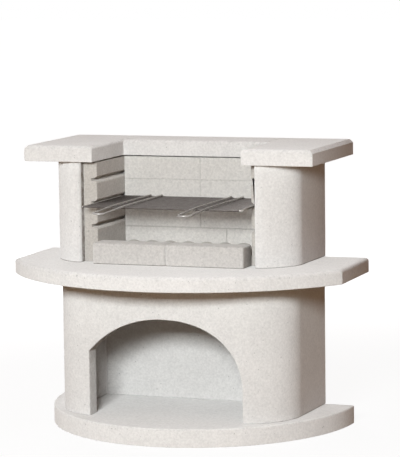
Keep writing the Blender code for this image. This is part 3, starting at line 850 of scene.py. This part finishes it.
for course in range(4):
    joint_x = upper_joint_x if course else lowest_joint_x
    ends = {"left": (-firebox_half + hairline, joint_x - hairline), "right": (joint_x, firebox_half - hairline)}
    for label, (start, end) in ends.items():
        # Each course's colour, the two lowest painted lighter.
        shade = tuple(c * course_painted_light[course] for c in block_concrete)
        shift = (0.7 * course, 1.9 if label == "left" else 0.3, 0.5 * course)
        look = mineral(f"block_{course + 1}_{label}_concrete", shade, shift, cloud=0.12, sand=0.16, pits=0.8,
                       grains=0.5)
        low = block_levels[course] + (hairline if course else 0)
        casting(f"lining_block_{course + 1}_{label}", look, [f"back_block_{course + 1}_{label}"],
                rectangle(start, end, low, block_levels[course + 1], 1), -block_rear_y, -block_front_y,
                block_edge, block_rear_edge, block_corner, upright=False, dirt_and_painted_shade=joint_dirt)

# Fire bricks
# Two light bars of cast refractory concrete, their corners softly rounded by the mould.
# They stand loose in front of the embers and lift out for cleaning.
brick_front_y = -0.1065
brick_rear_y = -0.019
brick_low = 0.5884
brick_high = 0.6619
brick_edge = 0.009
brick_low_edge = 0.003
brick_corner = 0.008
brick_gap = 0.001
# Painted shade on the bricks' tops and on the row's right end.
brick_top_shade = 0.22
brick_end_shade = 0.42
brick_joint_x = -0.008
brick_half = 0.2745
brick_concrete = (0.660, 0.640, 0.615)


def brick_painted_shade(cloud):
    """Painted shade on the top face and on the right end of the row, and a painted contact shadow at the foot."""
    top = brick_top_shade * fade(brick_high - cloud[..., 2], start=0.001, reach=0.003)
    end = brick_end_shade * fade(brick_half - cloud[..., 0], start=0.001, reach=0.002)
    foot = painted_foot_shade * fade(cloud[..., 2] - brick_low, start=0.0015, reach=0.0015)
    return np.maximum(np.maximum(top, end), foot)


for label, start, end, shift in (("left", -brick_half, brick_joint_x - brick_gap, (1.4, 0.4, 0.9)),
                                 ("right", brick_joint_x, brick_half, (3.2, 0.4, 0.9))):
    look = mineral(f"brick_{label}_concrete", brick_concrete, shift, cloud=0.12, sand=0.18)
    casting(f"fire_brick_bar_{label}", look, [f"fire_brick_{label}"],
            rectangle(start, end, brick_front_y, brick_rear_y, 1), brick_low, brick_high, brick_edge,
            brick_low_edge, brick_corner, body=f"brick_{label}", dirt_and_painted_shade=brick_painted_shade)

# Hearth slab and ember plates
# A flat refractory slab lies on the work slab; on it lie two loose plates with rounded ribs that let the
# air under the embers.
hearth_front_y = -0.018
hearth_rear_y = 0.207
hearth_high = 0.6114
plate_low = 0.6117
plate_thick = 0.010
rib_height = 0.015
rib_share = 0.80
rib_count = 4
plate_width = 0.274
plate_corner = 0.001
hearth_concrete = (0.50, 0.47, 0.44)
plate_concrete = (0.46, 0.435, 0.405)

hearth_look = mineral("hearth_concrete", hearth_concrete, (0.3, 0.3, 0.3), cloud=0.16, sand=0.2)
casting("hearth_slab_casting", hearth_look, ["hearth_slab"],
        rectangle(-brick_half, brick_half, hearth_front_y, hearth_rear_y), brick_low, hearth_high, plate_edge)


def ribbed_outline(left_x):
    """Section of a ribbed plate, anticlockwise: a flat foot and half ovals side by side on top."""
    valley = plate_low + plate_thick
    pitch = plate_width / rib_count
    turn = np.linspace(0, math.pi, 17)
    middles = left_x + (np.arange(rib_count)[::-1] + 0.5) * pitch
    rib_x = middles[:, None] + pitch * rib_share / 2 * np.cos(turn)[None]
    rib_z = np.broadcast_to(valley + rib_height * np.sin(turn)[None], rib_x.shape)
    ribs = np.stack([rib_x.ravel(), rib_z.ravel()], 1)
    return np.concatenate([[(left_x, plate_low), (left_x + plate_width, plate_low),
                            (left_x + plate_width, valley)], ribs, [(left_x, valley)]])


for label, left_x, shift in (("left", -brick_half, (2.2, 1.4, 0.2)), ("right", 0.0005, (0.8, 1.4, 0.2))):
    look = mineral(f"plate_{label}_concrete", plate_concrete, shift, cloud=0.2, sand=0.2)
    casting(f"ember_plate_casting_{label}", look, [f"ember_plate_{label}"], ribbed_outline(left_x), -hearth_rear_y,
            -hearth_front_y, plate_edge, plate_edge, plate_corner, body=f"plate_{label}",
            upright=False)

# Cooking grid
# A frame of thick drawn wire lies in the middle grooves; thin rods are welded across it from side to side.
# Plated steel, dulled by heat; its side bars are painted lighter, a painted reflection.
frame_wire = 0.0033
rod_wire = 0.0013
rod_total = 24
frame_line_half = 0.2857
frame_line_front = -0.1612
frame_line_rear = 0.1957
frame_corner = 0.005
grid_z = 0.7918
wire_sides = 14
painted_reflection_from_x = 0.2826
painted_reflection_colour = (0.66, 0.63, 0.60, 1.0)

steel_face, steel_in, steel_out = new_group(
    "steel_face", [("Place", "Vector"), ("Bright", "Color"), ("Dull", "Color"), ("Amount", "Float")],
    [("Colour", "Color"), ("Roughness", "Float"), ("Height", "Float")])
film_noise = noise_over(steel_face, steel_in.outputs["Place"], scale=60.0, detail=4.0, roughness=0.5)
film = maths(steel_face, "MULTIPLY", film_noise, steel_in.outputs["Amount"])
film_mix = add_node(steel_face, "ShaderNodeMix",
                    [("Factor", film), ("A", steel_in.outputs["Bright"]), ("B", steel_in.outputs["Dull"])],
                    data_type="RGBA")
steel_across = add_node(steel_face, "ShaderNodeSeparateXYZ", [("Vector", steel_in.outputs["Place"])])
# Past this width the wire is painted lighter: a painted reflection on the frame's side bars.
painted_reflection_mask = maths(steel_face, "GREATER_THAN", maths(steel_face, "ABSOLUTE", steel_across.outputs["X"], 0.0),
               painted_reflection_from_x)
painted_reflection_mix = add_node(steel_face, "ShaderNodeMix", [("Factor", painted_reflection_mask), ("A", film_mix.outputs["Result"])],
                      data_type="RGBA", B=painted_reflection_colour)
steel_roughness = maths(steel_face, "ADD", maths(steel_face, "MULTIPLY", film, 0.35), 0.22)
feed(steel_face, steel_out, [("Colour", painted_reflection_mix.outputs["Result"]), ("Height", film_noise),
                             ("Roughness", steel_roughness)])


def steel_look(name, bright, dull, amount):
    """Drawn steel wire with a patchy heat film."""
    return grouped_look(
        name, bright, {"Metallic": 0.9}, steel_face,
        {"Bright": (*bright, 1.0), "Dull": (*dull, 1.0), "Amount": amount}, attributes=(),
        shift=(0.0, 0.0, 0.0), bump_strength=0.3, bump_distance=0.0002)


def wire_rings(line, aside, radius, closed):
    """Rings of a round wire: each point of the line plus the radius times aside and over, turned full circle.

    The run is the line's central difference and over is the run crossed with aside. An open wire ends in a dome:
    three more rings, whose radius shrinks with the cosine as they go on by the sine.
    """
    run = (np.roll(line, -1, 0) - np.roll(line, 1, 0)) if closed else np.gradient(line, axis=0)
    run /= np.linalg.norm(run, axis=1)[:, None]
    size = np.full(len(line), radius)
    if not closed:
        dome = np.radians([75.0, 50.0, 25.0])
        first = line[:1] - run[:1] * (radius * np.sin(dome))[:, None]
        last = line[-1:] + run[-1:] * (radius * np.sin(dome[::-1]))[:, None]
        line = np.concatenate([first, line, last])
        size = np.concatenate([radius * np.cos(dome), size, radius * np.cos(dome[::-1])])
        run = np.concatenate([run[:1].repeat(3, 0), run, run[-1:].repeat(3, 0)])
        aside = np.concatenate([aside[:1].repeat(3, 0), aside, aside[-1:].repeat(3, 0)])
    over = np.cross(run, aside)
    turn = np.linspace(0, 2 * math.pi, wire_sides, endpoint=False)
    around = aside[:, None] * np.cos(turn)[None, :, None] + over[:, None] * np.sin(turn)[None, :, None]
    return line[:, None] + around * size[:, None, None]


def wire_piece(name, look, nodes, parts):
    """One object on the grid's body from several wires, given as rings and whether they are closed."""
    vertices, faces = [], []
    for rings, closed in parts:
        offset = len(vertices)
        faces += [[offset + v for v in face] for face in grid_faces(*rings.shape[:2], closed)]
        vertices += rings.reshape(-1, 3).tolist()
    put_in(name, vertices, faces, look, "cooking_grid", nodes, {}, sharp_degrees=50.0)


frame_turn = np.concatenate([np.linspace(k * math.pi / 2, (k + 1) * math.pi / 2, 9) for k in range(4)])
corner_x = (frame_line_half - frame_corner) * np.repeat([1, -1, -1, 1], 9)
corner_y = np.repeat([frame_line_rear - frame_corner] * 2 + [frame_line_front + frame_corner] * 2, 9)
frame_line = np.stack([corner_x + frame_corner * np.cos(frame_turn), corner_y + frame_corner * np.sin(frame_turn),
                       np.full(36, grid_z)], 1)
frame_aside = np.stack([np.cos(frame_turn), np.sin(frame_turn), 0 * frame_turn], 1)
grid_parts = [(wire_rings(frame_line, frame_aside, frame_wire, True), True)]
rod_pitch = (frame_line_rear - frame_line_front) / (rod_total + 1)
for rod in range(rod_total):
    rod_y = frame_line_front + (rod + 1) * rod_pitch
    end_gap = min(rod_y - frame_line_front, frame_line_rear - rod_y)
    hollow = frame_corner - end_gap
    reach = frame_line_half - (frame_corner - math.sqrt(frame_corner ** 2 - hollow ** 2) if hollow > 0 else 0)
    rod_line = np.stack([np.linspace(-reach, reach, 7), np.full(7, rod_y), np.full(7, grid_z)], 1)
    grid_parts.append((wire_rings(rod_line, np.tile([0.0, 1.0, 0.0], (7, 1)), rod_wire, False), False))
grid_look = steel_look("grid_steel", (0.195, 0.176, 0.166), (0.072, 0.061, 0.054), 0.9)
wire_piece("cooking_grid_wires", grid_look, ["grid_lattice"], grid_parts)

# Grid handles
# Two long loops of bright wire, welded over the grid's frame; in front of it they dip a little and round off for
# the hands. Their rear ends are cut off just behind the frame.
handle_wire = 0.0030
handle_middle_x = 0.151
handle_half = 0.0213
handle_z = 0.7984
handle_knee = 0.006
handle_dip = 0.007
handle_front_y = -0.362

handle_look = steel_look("handle_steel", (0.50, 0.48, 0.46), (0.20, 0.175, 0.16), 0.6)
knee_y = frame_line_front - handle_knee
loop_y = handle_front_y + handle_wire + handle_half
handle_fall = handle_dip / (knee_y - loop_y + handle_half)
for label, side in (("left", -1), ("right", 1)):
    back_run = np.linspace(frame_line_rear + frame_wire - handle_wire, knee_y, 16)
    front_run = np.linspace(knee_y, loop_y, 10)[1:-1]
    leg_y = np.concatenate([back_run, front_run])
    leg = np.stack([0 * leg_y + handle_half, leg_y, handle_z - handle_fall * np.maximum(knee_y - leg_y, 0)], 1)
    loop_turn = np.linspace(0, -math.pi, 25)
    bow_y = loop_y + handle_half * np.sin(loop_turn)
    loop = np.stack([handle_half * np.cos(loop_turn), bow_y, handle_z - handle_fall * (knee_y - bow_y)], 1)
    line = np.concatenate([leg, loop, leg[::-1] * [-1, 1, 1]]) + [side * handle_middle_x, 0, 0]
    loop_aside = np.stack([np.cos(loop_turn), np.sin(loop_turn), handle_fall * np.sin(loop_turn)], 1)
    aside = np.concatenate([np.tile([1.0, 0, 0], (len(leg), 1)), loop_aside, np.tile([-1.0, 0, 0], (len(leg), 1))])
    wire_piece(f"grid_handle_loop_{label}", handle_look, [f"grid_handle_{label}"],
               [(wire_rings(line, aside, handle_wire, False), False)])

low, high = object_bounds()
